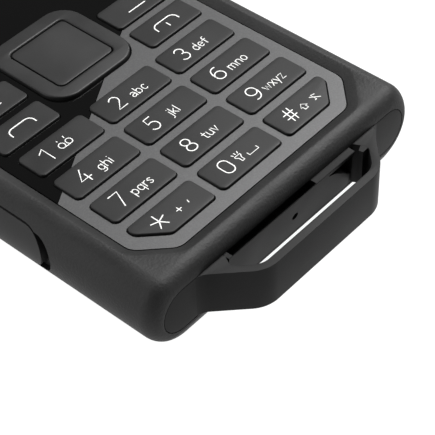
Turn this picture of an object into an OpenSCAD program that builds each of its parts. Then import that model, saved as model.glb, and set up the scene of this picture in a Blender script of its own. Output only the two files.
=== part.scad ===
// Rugged keypad phone with a stowed pull-out satellite antenna.
// Millimetres. +Z points out of the keypad face, +Y towards the earpiece,
// +X to the right of a person reading the keys. The origin is the centre of
// the flat back, so the phone lies on the XY plane.

/* [Body] */
// Width of the body over its rounded sides
body_w = 62.1; // [55:0.1:75]
// Thickness the rounded sides would close to if the front were not cut flat
section_t = 16.08; // [12:0.02:20]
// Height of the raised rim round the keys, above the back
rim_z = 14.5; // [12:0.1:18]
// Height of the key plate and of the black window, above the back
plate_z = 13.7; // [11:0.1:17]
// Position of the flat lower end of the body
end_y = -67.6; // [-90:0.1:-50]
// Position of the flat upper end of the body
top_y = 70.7; // [50:0.1:90]
// Rounding of the edges at both ends
end_r = 2.5; // [1:0.1:4]
// Rounding from the front face down to the ends
front_r = 2.7; // [1:0.1:4]
// Height where the front shell meets the back shell
split_z = 3.0; // [2:0.1:5]

/* [Lanyard loop] */
// How far the loop stands out beyond the lower end
loop_out = 7.1; // [5:0.1:12]
// Thickness of the loop's front bar
loop_bar = 1.45; // [1:0.05:3]
// Lower face of the loop and of the end plate
loop_z0 = 3.4; // [1:0.1:6]
// Upper face of the loop and of the end plate
loop_z1 = 11.7; // [9:0.1:13]
// Half width of the end plate
endplate_hw = 28.6; // [24:0.1:30]
// How far the wall inside the loop leans out at its top
wall_lean = 1.3; // [0:0.1:2]

/* [Keys] */
// Distance between key columns
col_pitch = 15.6; // [14:0.05:18]
// Distance between key rows
row_pitch = 7.72; // [6:0.02:10]
// Width of one key
key_w = 13.9; // [12:0.1:16]
// Height of one key on the face
key_h = 5.9; // [5:0.1:8]
// Centre of the lowest row of keys
row0_y = -57.5; // [-62:0.1:-50]
// Top of the keys
key_top = 14.1; // [13:0.05:15]
// Gap round a key in its opening
key_gap = 0.15; // [0.1:0.05:0.4]
// How far a key goes down
key_travel = 0.4; // [0.2:0.05:0.8]
// Corner radius of a key
key_r = 0.9; // [0.4:0.1:2]
// Size of the corner cut off the two lowest outer keys
key_cut = 4.1; // [2:0.1:5]
// Outer size of the square direction ring
ring_w = 18.5; // [14:0.1:22]
// Corner radius of the direction ring
ring_r = 4.4; // [2:0.1:6]
// Size of the square centre key
centre_w = 12.2; // [8:0.1:15]
// Centre of the direction ring
ring_y = -18.75; // [-30:0.05:0]

/* [Front opening] */
// Half width of the opening for key plate and window
open_hw = 25.0; // [22:0.1:28]
// Lower edge of the opening
open_y0 = -63.05; // [-66:0.05:-60]
// Upper edge of the opening
open_y1 = 65.0; // [60:0.1:68]
// Size of the cut corners of the opening
open_cut = 5.2; // [2:0.1:8]
// Radius that softens the corners of the opening
open_r = 3.0; // [1.5:0.1:5]
// Width of the sloping rim round the opening
bevel_w = 1.8; // [0.5:0.1:3]
// Height of the plate's slanting upper edge at the left side
slant_y = -42.9; // [-50:0.1:-30]
// Slope of that edge
slant_k = 0.58; // [0:0.01:1]

/* [Battery and door] */
// Width of the battery
batt_w = 40.0; // [30:0.5:44]
// Length of the battery
batt_l = 51.0; // [40:0.5:56]
// Centre of the battery along the body
batt_y = -27.5; // [-35:0.5:-15]
// Thickness of the battery
batt_t = 5.4; // [4:0.1:6]
// Width of the battery door
door_w = 47.0; // [40:0.5:50]
// Length of the battery door
door_l = 66.0; // [56:0.5:70]
// Thickness of the battery door
door_t = 1.4; // [1:0.1:2]
// Radius of the coin screw heads
coin_r = 3.6; // [2.5:0.1:5]

/* [Antenna] */
// Antenna axis, sideways from the middle
ant_x = 23.2; // [18:0.1:25]
// Antenna axis above the back
ant_z = 7.4; // [6:0.1:9]
// Radius of the sliding mast
mast_r = 3.5; // [2:0.1:4]
// Radial running clearance of the mast in its guide
mast_gap = 0.05; // [0.01:0.01:0.1]
// Radius of the grip at the top of the mast
tip_r = 4.8; // [4:0.1:5.5]
// Lower end of the stowed mast
mast_y0 = 2.0; // [0:0.5:10]
// Upper end of the grip when stowed
tip_y1 = 74.7; // [72:0.1:80]

/* [Side controls] */
// Centre of the port cover along the body
flap_y = -29.8; // [-35:0.1:-20]
// Length of the port cover
flap_l = 29.6; // [20:0.1:34]
// Height of the port cover
flap_h = 7.8; // [6:0.1:9]
// How far a side key stands out of the body
side_out = 0.3; // [0.1:0.05:0.8]

/* [Hidden] */
$fn = 48;
side_r = section_t / 2;
side_x = body_w / 2 - side_r;
mid_z = side_r;
half_w = body_w / 2;
body_l = top_y - end_y;
mid_y = (top_y + end_y) / 2;
plate_t = 0.8;
ledge_z = plate_z - plate_t;
ledge_hw = open_hw - 1.05;
roof_z = ledge_z - 0.9;
cav_hw = 28.0;
cav_y0 = end_y + 2.7;
cav_y1 = top_y - 2.7;
tray_hw = cav_hw - 0.3;
tray_z = 8.6;
board_z = 8.7;
board_t = 0.9;
end_z = (loop_z0 + loop_z1) / 2;
end_rad = (loop_z1 - loop_z0) / 2;
end_t = 2.3;
loop_y = end_y - loop_out;
well_w = batt_w + 1;
well_y0 = batt_y - batt_l / 2 - 0.5;
well_y1 = batt_y + batt_l / 2 + 0.5;
door_y = batt_y;
door_y0 = door_y - door_l / 2;
door_y1 = door_y + door_l / 2;
coin_y = door_y0 + 5;
coin_x = 14;
call_w = 12.3;
call_h = 5.8;
call_x = 16.85;
call_y = -26.55;
soft_y = -19.0;
soft_h = 6.0;
sock_y = -30;
sock_z = 7.6;
// axis on which the port cover swings, in the middle of its thickness
flap_ax = -half_w + 0.75;
flap_ay = flap_y + flap_l / 2 - 0.75;
relief_z = loop_z0 - 0.45;
pass_z = loop_z1 - 3.1;
lip_z = loop_z1 - 0.8;
mic_x = 0.4;
mic_z = 7.7;
// height of the pins on which the direction ring rocks
pin_z = 11.57;
pin_r = 0.25;

// ---- drawing helpers ----

// Rectangle with round corners, centred
module rrect(w, h, r) {
    square([w - 2 * r, h], center = true);
    square([w, h - 2 * r], center = true);
    for (sx = [-1, 1]) {
        for (sy = [-1, 1]) {
            translate([sx * (w / 2 - r), sy * (h / 2 - r)])
                circle(r = r);
        }
    }
}

// Plate standing on z0 with a round-cornered outline
module slab(x, y, z0, z1, w, h, r) {
    translate([x, y, z0])
        linear_extrude(z1 - z0)
            rrect(w, h, r);
}

// Plain block from corner to corner
module block(x0, x1, y0, y1, z0, z1) {
    translate([x0, y0, z0])
        cube([x1 - x0, y1 - y0, z1 - z0]);
}

// Upright cylinder from z0 to z1
module post(x, y, z0, z1, r) {
    translate([x, y, z0])
        cylinder(r = r, h = z1 - z0);
}

// Cylinder along Y from y0 to y1
module rod_y(x, z, y0, y1, r) {
    translate([x, y1, z])
        rotate([90, 0, 0])
            cylinder(r = r, h = y1 - y0);
}

// Cylinder along X from x0 to x1
module rod_x(y, z, x0, x1, r) {
    translate([x0, y, z])
        rotate([0, 90, 0])
            cylinder(r = r, h = x1 - x0);
}

// Extrude a drawing of (x, z) from y0 to y1
module along_y(y0, y1) {
    translate([0, y1, 0])
        rotate([90, 0, 0])
            linear_extrude(y1 - y0)
                children();
}

// Extrude a drawing of (y, z) from x0 to x1
module along_x(x0, x1) {
    translate([x0, 0, 0])
        rotate([90, 0, 90])
            linear_extrude(x1 - x0)
                children();
}

// ---- the outer shape of the body ----

// Round side of the body, with its ends rounded
module side_roll(sx) {
    translate([sx * side_x, top_y, mid_z])
        rotate([90, 0, 0])
            rotate_extrude() {
                square([side_r - end_r, body_l]);
                translate([0, end_r])
                    square([side_r, body_l - 2 * end_r]);
                translate([side_r - end_r, end_r])
                    circle(r = end_r);
                translate([side_r - end_r, body_l - end_r])
                    circle(r = end_r);
            }
}

module outer_body() {
    intersection() {
        union() {
            side_roll(-1);
            side_roll(1);
            along_x(-side_x, side_x)
                translate([mid_y, mid_z])
                    rrect(body_l, section_t, end_r);
        }
        along_x(-40, 40) {
            translate([end_y + front_r, -1])
                square([body_l - 2 * front_r, rim_z + 1]);
            translate([end_y, -1])
                square([body_l, rim_z + 1 - front_r]);
            translate([end_y + front_r, rim_z - front_r])
                circle(r = front_r);
            translate([top_y - front_r, rim_z - front_r])
                circle(r = front_r);
        }
    }
}

// An eighth of a circle as five points, starting at angle a
function eighth(cx, cy, r, a) =
    [for (i = [0:4]) [cx + r * cos(a + i * 11.25), cy + r * sin(a + i * 11.25)]];

// Outline of the front opening, grown by g: eight sides with softened corners
module opening(g) {
    r = open_r + g;
    c = open_cut + g * 0.5858 + 0.4142 * r;
    x = open_hw + g;
    y0 = open_y0 - g;
    y1 = open_y1 + g;
    polygon(concat(
        eighth(x - r, y1 - c, r, 0), eighth(x - c, y1 - r, r, 45),
        eighth(c - x, y1 - r, r, 90), eighth(r - x, y1 - c, r, 135),
        eighth(r - x, y0 + c, r, 180), eighth(c - x, y0 + r, r, 225),
        eighth(x - c, y0 + r, r, 270), eighth(x - r, y0 + c, r, 315)));
}

// The pull-away shape of the sloping rim
module rim_cut() {
    hull() {
        translate([0, 0, plate_z])
            linear_extrude(0.01)
                opening(0);
        translate([0, 0, rim_z + 0.01])
            linear_extrude(0.01)
                opening(bevel_w);
    }
}

// A stadium in the (x, z) plane: the outline of the end plate, grown by g
module end_outline(g) {
    square([2 * (endplate_hw - end_rad), 2 * (end_rad + g)], center = true);
    translate([endplate_hw - end_rad, 0])
        circle(r = end_rad + g);
    translate([end_rad - endplate_hw, 0])
        circle(r = end_rad + g);
}

// A stadium in the (y, z) plane, for the side keys and the port cover
module side_outline(l, h) {
    square([l - h, h], center = true);
    translate([l / 2 - h / 2, 0])
        circle(r = h / 2);
    translate([h / 2 - l / 2, 0])
        circle(r = h / 2);
}

// ---- shells ----

module front_housing() {
    color("#454545")
    difference() {
        union() {
            difference() {
                outer_body();
                block(-40, 40, end_y - 1, top_y + 1, -1, split_z);
                rim_cut();
                translate([0, 0, ledge_z])
                    linear_extrude(1)
                        opening(0);
                translate([0, 0, roof_z - 0.1])
                    linear_extrude(1.5)
                        opening(-1.05);
                block(-cav_hw, cav_hw, cav_y0, cav_y1, split_z - 1, roof_z);
            }
            for (p = screw_spots())
                post(p[0], p[1], tray_z + 0.1, roof_z + 0.1, 1.9);
        }
        for (p = screw_spots())
            post(p[0], p[1], tray_z - 1, roof_z - 0.8, 0.85);
        // seat of the end plate
        along_y(end_y - 1, end_y + end_t)
            translate([0, end_z])
                end_outline(0.08);
        strap_relief();
        // microphone passage
        rod_y(mic_x, mic_z, end_y - 1, cav_y0 + 1, 0.7);
        // port cover seat, socket passage and fingernail notch
        along_x(-half_w - 1, -half_w + 1.9)
            translate([flap_y + 0.15, mid_z])
                side_outline(flap_l + 0.7, flap_h + 0.6);
        block(-half_w - 1, -half_w + 1.9, flap_y, flap_y + flap_l / 2 + 0.45,
            mid_z - flap_h / 2 - 0.3, mid_z + flap_h / 2 + 0.3);
        along_x(-half_w - 1, -half_w + 1.7)
            translate([flap_y - 2, mid_z])
                side_outline(flap_l, 7.2);
        block(-half_w, -cav_hw + 1, sock_y - 5.2, sock_y + 5.2, sock_z - 2.3, sock_z + 2.3);
        // side keys
        side_key_cut(-1, 17);
        side_key_cut(-1, 33);
        side_key_cut(1, -22);
        // antenna and its ring seal
        rod_y(ant_x, ant_z, cav_y1 - 1, top_y + 1, mast_r + 0.4);
        rod_y(ant_x, ant_z, cav_y1 - 1, cav_y1 + 0.9, 5.0);
        // torch
        rod_y(-12, mid_z, cav_y1 - 1, top_y + 1, 3.1);
    }
}

function screw_spots() = [[-25.7, -61.2], [25.7, -61.2], [-25.7, -6], [25.7, -6],
    [-25.7, 64.4], [13.5, 66.0]];

module side_key_cut(sx, y) {
    x0 = sx > 0 ? half_w - 2.0 : -half_w - 1;
    along_x(x0, x0 + 3.0)
        translate([y, mid_z])
            side_outline(12.6, 5.0);
    rod_x(y, mid_z, sx > 0 ? cav_hw - 1 : -half_w, sx > 0 ? half_w : -cav_hw + 1, 1.5);
}

// Slope under the end plate, so that a strap can be threaded through the loop
module strap_relief() {
    along_x(-18.5, 18.5)
        polygon([[end_y - 1, relief_z], [end_y + 0.02, relief_z],
            [end_y + 2.3, -0.05], [end_y - 1, -0.05]]);
}

module rear_housing() {
    color("#2b2b2b")
    difference() {
        union() {
            intersection() {
                outer_body();
                block(-40, 40, end_y - 1, top_y + 1, -1, split_z);
            }
            block(-tray_hw, tray_hw, cav_y0 + 0.3, cav_y1 - 0.3, split_z - 0.5, tray_z);
        }
        // battery well and door seat
        block(-well_w / 2, well_w / 2, well_y0, well_y1, -1, tray_z - 0.6);
        slab(0, door_y, -1, door_t + 0.5, door_w + 0.6, door_l + 0.6, 3.3);
        for (s = [-1, 1])
            post(s * coin_x, coin_y, -1, 5.4, 1.75);
        // contact slot
        block(-7, 7, well_y1 - 1, well_y1 + 3, 2.6, tray_z + 1);
        strap_relief();
        // seat of the end plate's lower part
        along_y(end_y - 1, end_y + end_t)
            translate([0, end_z])
                end_outline(0.08);
        // socket
        block(-tray_hw - 1, -well_w / 2 - 0.6, sock_y - 5.2, sock_y + 5.2, sock_z - 2.3, tray_z + 1);
        // side key stems
        for (y = [17, 33])
            rod_x(y, mid_z, -tray_hw - 1, -25.5, 1.9);
        rod_x(-22, mid_z, 25.5, tray_hw + 1, 1.9);
        // antenna channel
        rod_y(ant_x, ant_z, 0, top_y + 1, 4.5);
        block(ant_x - 4.5, ant_x + 4.5, 0, cav_y1 + 1, ant_z, tray_z + 1);
        rod_y(ant_x, ant_z, cav_y1 - 1, cav_y1 + 0.9, 5.0);
        // torch, camera, flash, motor and loudspeaker
        rod_y(-12, mid_z, 62.5, top_y + 1, 3.1);
        slab(-8, 48, 1.9, tray_z + 1, 9.6, 9.6, 0.8);
        post(-8, 48, -1, 3, 2.9);
        post(-8, 48, -1, 1.0, 5.2);
        post(4, 48, -1, 3.0, 2.7);
        post(4, 48, 2.9, tray_z + 1, 2.0);
        post(8, 27, 5.4, tray_z + 1, 5.3);
        slab(-8, 27, 2.1, tray_z + 1, 19, 13, 1.2);
        for (i = [-2:2])
            slab(-8, 27 + i * 2.2, -1, 3, 12, 1.0, 0.45);
        // SIM bay
        block(4, 18.4, 6, 19, 5.8, tray_z + 1);
        // housing screws
        for (p = screw_spots()) {
            post(p[0], p[1], -1, tray_z + 1, 0.95);
            post(p[0], p[1], -1, 1.9, 1.8);
        }
    }
}

// ---- lower end plate with the lanyard loop ----

// Plan of the loop: outer shape less the opening
module loop_plan() {
    difference() {
        union() {
            polygon([[-22.5, end_y + 0.5], [-20.8, end_y], [-15.6, end_y - 5.2],
                [-14.4, end_y - 6.2], [-13.1, end_y - 6.85], [-11.6, loop_y],
                [11.6, loop_y], [13.1, end_y - 6.85], [14.4, end_y - 6.2],
                [15.6, end_y - 5.2], [20.8, end_y], [22.5, end_y + 0.5]]);
            polygon([[-22.6, end_y + 0.5], [-22.6, end_y], [-21.4, end_y - 0.22],
                [-20.4, end_y - 0.7], [-19, end_y + 0.5]]);
            polygon([[22.6, end_y + 0.5], [22.6, end_y], [21.4, end_y - 0.22],
                [20.4, end_y - 0.7], [19, end_y + 0.5]]);
        }
        polygon([[-15.3, end_y], [-16.3, end_y - 1.9], [-16.2, end_y - 2.5],
            [-14.2, end_y - 4.6], [-13.0, end_y - 5.3], [-11.5, loop_y + loop_bar],
            [11.5, loop_y + loop_bar], [13.0, end_y - 5.3], [14.2, end_y - 4.6],
            [16.2, end_y - 2.5], [16.3, end_y - 1.9], [15.3, end_y]]);
    }
    // tooth that keeps the strap off the arm
    polygon([[16.9, end_y - 0.75], [14.8, end_y - 1.65], [14.95, end_y - 2.4],
        [16.9, end_y - 2.35]]);
}

module end_cap() {
    color("#333333") {
        difference() {
            union() {
                along_y(end_y, end_y + end_t)
                    translate([0, end_z])
                        end_outline(0);
                // leaning wall inside the loop, its top level with the loop
                along_x(-15.6, 14.3)
                    polygon([[end_y + 0.5, loop_z0], [end_y, loop_z0],
                        [end_y - wall_lean, loop_z1], [end_y + 0.5, loop_z1]]);
            }
            // strap passage: in at the top behind the wall, along, and out at the right
            along_x(-14.8, 4.9)
                polygon([[end_y - wall_lean + 0.15, loop_z1 + 0.1],
                    [end_y - wall_lean + 0.15, loop_z1], [end_y - 0.2, pass_z],
                    [end_y + 1.4, pass_z], [end_y + 1.4, loop_z1 + 0.1]]);
            block(4.8, 15.2, end_y - 0.2, end_y + 1.4, pass_z, lip_z);
            along_y(end_y - 2, end_y + 1.4)
                polygon([[7.8, lip_z], [9.9, lip_z - 1.0], [14.4, lip_z - 4.7],
                    [15.2, lip_z - 5.5], [15.2, lip_z]]);
            rod_y(mic_x, mic_z, end_y - 3, end_y + end_t + 1, 0.7);
        }
        translate([0, 0, loop_z0])
            linear_extrude(loop_z1 - loop_z0)
                loop_plan();
    }
}

// ---- front face ----

module column_openings(g) {
    for (c = [-1, 0, 1]) {
        for (r = [0:3]) {
            translate([c * col_pitch, row0_y + r * row_pitch])
                key_plan(c, r, g);
        }
    }
}

// Outline of one number key, grown by g
module key_plan(c, r, g) {
    difference() {
        rrect(key_w + 2 * g, key_h + 2 * g, key_r + g);
        if (r == 0 && c != 0)
            scale([c, 1])
                translate([key_w / 2, -key_h / 2])
                    rotate(45)
                        square([9, 2 * (key_cut * 0.7071 - g)], center = true);
    }
}

// All the openings that plate and window share
module face_openings() {
    column_openings(key_gap);
    for (s = [-1, 1]) {
        translate([s * call_x, call_y])
            rrect(call_w + 2 * key_gap, call_h + 2 * key_gap, key_r);
        translate([s * call_x, soft_y])
            rrect(call_w + 2 * key_gap, soft_h + 2 * key_gap, key_r);
    }
    translate([0, ring_y])
        rrect(ring_w + 0.5, ring_w + 0.5, ring_r + 0.2);
}

module keypad_plate() {
    color("#6c6c6c")
    translate([0, 0, ledge_z])
        linear_extrude(plate_t)
            difference() {
                opening(-0.05);
                face_openings();
                polygon([[-40, slant_y - 15 * slant_k], [40, slant_y + 65 * slant_k],
                    [40, 90], [-40, 90]]);
            }
}

module front_window() {
    color("#0e0e0e")
    difference() {
        translate([0, 0, ledge_z])
            linear_extrude(plate_t)
                difference() {
                    opening(-0.05);
                    face_openings();
                    polygon([[-40, slant_y + 0.1 - 15 * slant_k],
                        [40, slant_y + 0.1 + 65 * slant_k], [40, -90], [-40, -90]]);
                }
        slab(0, 61.2, ledge_z - 1, plate_z + 1, 13, 1.8, 0.88);
    }
}

module display_module() {
    color("#15181c")
    slab(0, 26, ledge_z - 1.45, ledge_z - 0.05, 41, 56, 0.5);
}

module earpiece_mesh() {
    color("#1c1c1c")
    slab(0, 61.2, ledge_z + 0.05, plate_z - 0.35, 12.8, 1.6, 0.78);
}

module receiver() {
    color("#8a8a8a")
    slab(0, 61.0, ledge_z - 2.7, ledge_z - 0.05, 14, 5.6, 1.2);
}

// ---- keys ----

// A number key: cap through the plate, wider foot below it
module number_key(c, r) {
    translate([c * col_pitch, row0_y + r * row_pitch, 0]) {
        translate([0, 0, ledge_z - 0.9])
            linear_extrude(key_top - ledge_z + 0.9)
                key_plan(c, r, 0);
        translate([0, 0, ledge_z - 0.9])
            linear_extrude(0.7)
                key_plan(c, r, 0.55);
    }
}

module key_1() {
    color("#444444")
        number_key(-1, 3);
}

module key_2() {
    color("#444444")
        number_key(0, 3);
}

module key_3() {
    color("#444444")
        number_key(1, 3);
}

module key_4() {
    color("#444444")
        number_key(-1, 2);
}

module key_5() {
    color("#444444")
        number_key(0, 2);
}

module key_6() {
    color("#444444")
        number_key(1, 2);
}

module key_7() {
    color("#444444")
        number_key(-1, 1);
}

module key_8() {
    color("#444444")
        number_key(0, 1);
}

module key_9() {
    color("#444444")
        number_key(1, 1);
}

module key_star() {
    color("#444444")
        number_key(-1, 0);
}

module key_0() {
    color("#444444")
        number_key(0, 0);
}

module key_hash() {
    color("#444444")
        number_key(1, 0);
}

module face_key(x, y, w, h) {
    slab(x, y, ledge_z - 0.9, key_top, w, h, key_r - 0.1);
    slab(x, y, ledge_z - 0.9, ledge_z - 0.2, w + 1.0, h + 1.0, key_r);
}

module call_key() {
    color("#444444")
        face_key(-call_x, call_y, call_w, call_h);
}

module end_key() {
    color("#444444")
        face_key(call_x, call_y, call_w, call_h);
}

module soft_key_left() {
    color("#444444")
        face_key(-call_x, soft_y, call_w, soft_h);
}

module soft_key_right() {
    color("#444444")
        face_key(call_x, soft_y, call_w, soft_h);
}

module nav_ring() {
    color("#414141")
    difference() {
        union() {
            slab(0, ring_y, ledge_z - 0.6, key_top + 0.3, ring_w, ring_w, ring_r);
            for (s = [-1, 1])
                translate([0, ring_y + s * 8.85, 0])
                    block(-0.8, 0.8, -0.3, 0.3, pin_z, ledge_z - 0.5);
        }
        slab(0, ring_y, 0, 20, centre_w + 0.5, centre_w + 0.5, 1.2);
        rod_y(0, pin_z, ring_y - 9.4, ring_y + 9.4, pin_r + 0.05);
    }
}

module nav_centre() {
    color("#474747")
    slab(0, ring_y, ledge_z - 0.9, key_top + 0.2, centre_w, centre_w, 1.0);
}

// Gimbal under the ring: one pair of pins along X, one along Y
module nav_pivot() {
    color("#9a9a96")
    difference() {
        union() {
            slab(0, ring_y, pin_z - 0.12, pin_z + 0.12, 17, 17, 3);
            rod_y(0, pin_z, ring_y - 9.2, ring_y + 9.2, pin_r);
            rod_x(ring_y, pin_z, -9.8, 9.8, pin_r);
        }
        slab(0, ring_y, 0, 20, 12.8, 12.8, 1.2);
    }
}

// ---- under the keys ----

module keypad_membrane() {
    color("#5c5f60")
    difference() {
        union() {
            block(-23.4, 23.4, -61.6, -9.0, 10.4, 10.9);
            for (c = [-1, 0, 1]) {
                for (r = [0:3])
                    post(c * col_pitch, row0_y + r * row_pitch, 10.8, 11.5, 1.6);
            }
            for (s = [-1, 1]) {
                post(s * call_x, call_y, 10.8, 11.5, 1.6);
                post(s * call_x, soft_y, 10.8, 11.5, 1.6);
            }
            post(0, ring_y, 10.8, 11.5, 2.0);
            for (s = [-1, 1])
                translate([s * 9.4, ring_y, 0])
                    block(-0.35, 0.35, -0.9, 0.9, 10.8, pin_z);
        }
        rod_x(ring_y, pin_z, -11, 11, pin_r + 0.05);
        for (s = [-1, 1])
            post(s * 25.7, -61.2, 0, 20, 2.6);
    }
}

module dome_sheet() {
    color("#c9c9c4")
    union() {
        block(-23.4, 23.4, -58.9, -9.6, board_z + board_t, board_z + board_t + 0.15);
        for (c = [-1, 0, 1]) {
            for (r = [0:3])
                post(c * col_pitch, row0_y + r * row_pitch, 9.7, 10.05, 2.1);
        }
        for (s = [-1, 1]) {
            post(s * call_x, call_y, 9.7, 10.05, 2.1);
            post(s * call_x, soft_y, 9.7, 10.05, 2.1);
        }
        post(0, ring_y, 9.7, 10.05, 2.1);
    }
}

module main_board() {
    color("#1d4a33")
    difference() {
        union() {
            block(-23.4, 23.4, -59.6, -0.8, board_z, board_z + board_t);
            block(-23.4, 18.3, -1, 63.5, board_z, board_z + board_t);
        }
        block(-30, -20.4, sock_y - 5.0, sock_y + 5.0, 0, 20);
        for (p = screw_spots())
            post(p[0], p[1], 0, 20, 2.6);
        block(-16, -8, 62, 70, 0, 20);
    }
}

module shield_can() {
    color("#b9bbbd")
    slab(-2, 22, board_z + board_t, board_z + board_t + 1.5, 34, 36, 0.8);
}

module patch_antenna() {
    color("#d8cfb8")
    slab(-15.8, 58.5, board_z + board_t, board_z + board_t + 2.8, 8.4, 8.2, 0.4);
}

// ---- battery side ----

module battery() {
    color("#3a3d42")
    slab(0, batt_y, 2.3, 2.3 + batt_t, batt_w, batt_l, 1.5);
}

module battery_door() {
    color("#303030")
    difference() {
        union() {
            slab(0, door_y, 0, door_t, door_w, door_l, 3.0);
        }
        for (s = [-1, 1]) {
            post(s * coin_x, coin_y, -1, 3, 1.9);
            post(s * coin_x, coin_y, -1, 0.75, coin_r + 0.3);
        }
        // finger ribs near the far end
        for (i = [0:4])
            slab(0, door_y1 - 8 - i * 2.4, -1, 0.35, 20 - i * 3, 1.1, 0.5);
    }
}

module door_seal() {
    color("#1a1a1a")
    difference() {
        slab(0, door_y, door_t + 0.05, door_t + 0.45, door_w - 0.6, door_l - 0.6, 2.7);
        slab(0, door_y, 0, 5, door_w - 3.4, door_l - 3.4, 1.4);
        for (s = [-1, 1])
            post(s * coin_x, coin_y, 0, 5, 2.2);
    }
}

// Coin screw: slotted head, shank and a cross lug at its end
module coin_screw(x) {
    difference() {
        union() {
            post(x, coin_y, 0.0, 0.65, coin_r);
            post(x, coin_y, 0.6, 5.2, 1.4);
        }
        block(x - 2.9, x + 2.9, coin_y - 0.6, coin_y + 0.6, -1, 0.4);
    }
}

module coin_screw_left() {
    color("#8b8d8f")
        coin_screw(-coin_x);
}

module coin_screw_right() {
    color("#8b8d8f")
        coin_screw(coin_x);
}

module battery_contacts() {
    color("#c8a64c")
    union() {
        block(-6.6, 6.6, well_y1 + 0.2, well_y1 + 2.6, 3.0, tray_z - 0.2);
        for (i = [-1.5:1:1.5])
            block(i * 3 - 0.5, i * 3 + 0.5, well_y1 - 0.3, well_y1 + 0.3, 4.2, 5.6);
    }
}

module sim_holder() {
    color("#a9abad")
    difference() {
        block(4.4, 18.0, 6.4, 18.6, 6.9, 8.5);
        block(5.2, 20, 7.2, 17.8, 7.3, 8.1);
    }
}

// ---- side parts ----

// The cover keeps the round outer surface of the side
module port_flap() {
    color("#3c3c3c")
    intersection() {
        union() {
            along_x(-half_w - 1, -half_w + 1.5)
                intersection() {
                    translate([flap_y, mid_z])
                        side_outline(flap_l, flap_h);
                    translate([flap_y - flap_l, 0])
                        square([flap_l + 1, 20]);
                }
            block(-half_w - 1, -half_w + 1.5, flap_y, flap_ay,
                mid_z - flap_h / 2, mid_z + flap_h / 2);
            post(flap_ax, flap_ay, mid_z - flap_h / 2, mid_z + flap_h / 2, 0.75);
            along_x(-half_w + 1.4, -half_w + 2.6)
                translate([sock_y, sock_z])
                    side_outline(7.6, 2.0);
        }
        rod_y(-side_x, mid_z, -60, 0, side_r);
    }
}

module charge_socket() {
    color("#9fa1a3")
    difference() {
        along_x(-28.3, -21.4)
            translate([sock_y, sock_z])
                side_outline(9.8, 4.0);
        along_x(-29, -22.4)
            translate([sock_y, sock_z])
                side_outline(8.9, 3.2);
        block(-29, -22.4, sock_y - 3.3, sock_y + 3.3, sock_z - 0.3, sock_z + 0.3);
    }
}

module side_key(sx, y) {
    x0 = sx > 0 ? half_w - 1.5 : -half_w - side_out;
    intersection() {
        along_x(x0, x0 + 1.5 + side_out)
            translate([y, mid_z])
                side_outline(12, 4.4);
        rod_y(sx * (side_x + side_out), mid_z, y - 8, y + 8, side_r);
    }
    rod_x(y, mid_z, sx > 0 ? 27.0 : -half_w + 1.4, sx > 0 ? half_w - 1.4 : -27.0, 1.1);
}

module volume_up_key() {
    color("#3a3a3a")
        side_key(-1, 33);
}

module volume_down_key() {
    color("#3a3a3a")
        side_key(-1, 17);
}

module talk_side_key() {
    color("#3a3a3a")
        side_key(1, -22);
}

// ---- sound, light and picture ----

module loudspeaker() {
    color("#26282a")
    slab(-8, 27, 3.0, 7.4, 18, 12, 1.0);
}

module microphone() {
    color("#b6b6b0")
    block(mic_x - 2, mic_x + 2, cav_y0 + 0.35, cav_y0 + 1.55, 8.7, 11.0);
}

module vibration_motor() {
    color("#a2a4a6")
    post(8, 27, 5.6, 8.4, 5.0);
}

module camera_module() {
    color("#22262b")
    union() {
        slab(-8, 48, 3.2, 8.2, 8.6, 8.6, 0.6);
        post(-8, 48, 2.0, 3.3, 2.6);
    }
}

module camera_lens() {
    color("#101820")
    post(-8, 48, 0.15, 0.95, 5.0);
}

module flash_lens() {
    color("#e8e2c8")
    union() {
        post(4, 48, 0.15, 2.0, 2.5);
        post(4, 48, 1.9, 3.4, 1.8);
    }
}

module torch_lens() {
    color("#e9eef0")
    union() {
        rod_y(-12, mid_z, cav_y1 - 3.0, top_y - 0.2, 2.95);
        rod_y(-12, mid_z, cav_y1 - 4.4, cav_y1 - 2.9, 2.2);
    }
}

// ---- antenna ----

module antenna_sleeve() {
    color("#b08d4a")
    difference() {
        rod_y(ant_x, ant_z, 0.5, cav_y1 - 0.4, mast_r + 0.8);
        rod_y(ant_x, ant_z, mast_y0 - 0.4, cav_y1 - 6, mast_r + 0.35);
        rod_y(ant_x, ant_z, cav_y1 - 7, cav_y1 + 1, mast_r + mast_gap);
    }
}

module antenna_mast() {
    color("#2a2a2a")
    union() {
        rod_y(ant_x, ant_z, mast_y0, top_y + 2.2, mast_r);
    }
}

module antenna_tip() {
    color("#333333")
    difference() {
        union() {
            rod_y(ant_x, ant_z, top_y + 0.3, tip_y1 - 1.2, tip_r);
            translate([ant_x, tip_y1 - 1.2, ant_z])
                rotate([-90, 0, 0])
                    rotate_extrude() {
                        square([tip_r - 1.2, 1.2]);
                        intersection() {
                            translate([tip_r - 1.2, 0])
                                circle(r = 1.2);
                            square([tip_r, 1.2]);
                        }
                    }
        }
        rod_y(ant_x, ant_z, top_y, top_y + 2.2, mast_r);
        // grip groove
        rod_groove();
    }
}

// Ring-shaped grip groove cut into the tip
module rod_groove() {
    translate([ant_x, top_y + 1.5, ant_z])
        rotate([90, 0, 0])
            rotate_extrude()
                translate([tip_r + 0.25, 0])
                    circle(r = 0.6);
}

module antenna_seal() {
    color("#161616")
    translate([ant_x, cav_y1 + 0.35, ant_z])
        rotate([90, 0, 0])
            rotate_extrude()
                translate([mast_r + 0.65, 0])
                    circle(r = 0.55);
}

module housing_screws() {
    color("#7c7e80")
    difference() {
        union() {
            for (p = screw_spots()) {
                post(p[0], p[1], 0.7, 1.9, 1.5);
                post(p[0], p[1], 1.8, 11.0, 0.8);
            }
        }
        for (p = screw_spots())
            translate([p[0], p[1], 0])
                cylinder(r = 0.75, h = 1.4, $fn = 6);
    }
}

// ---- placement ----

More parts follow.
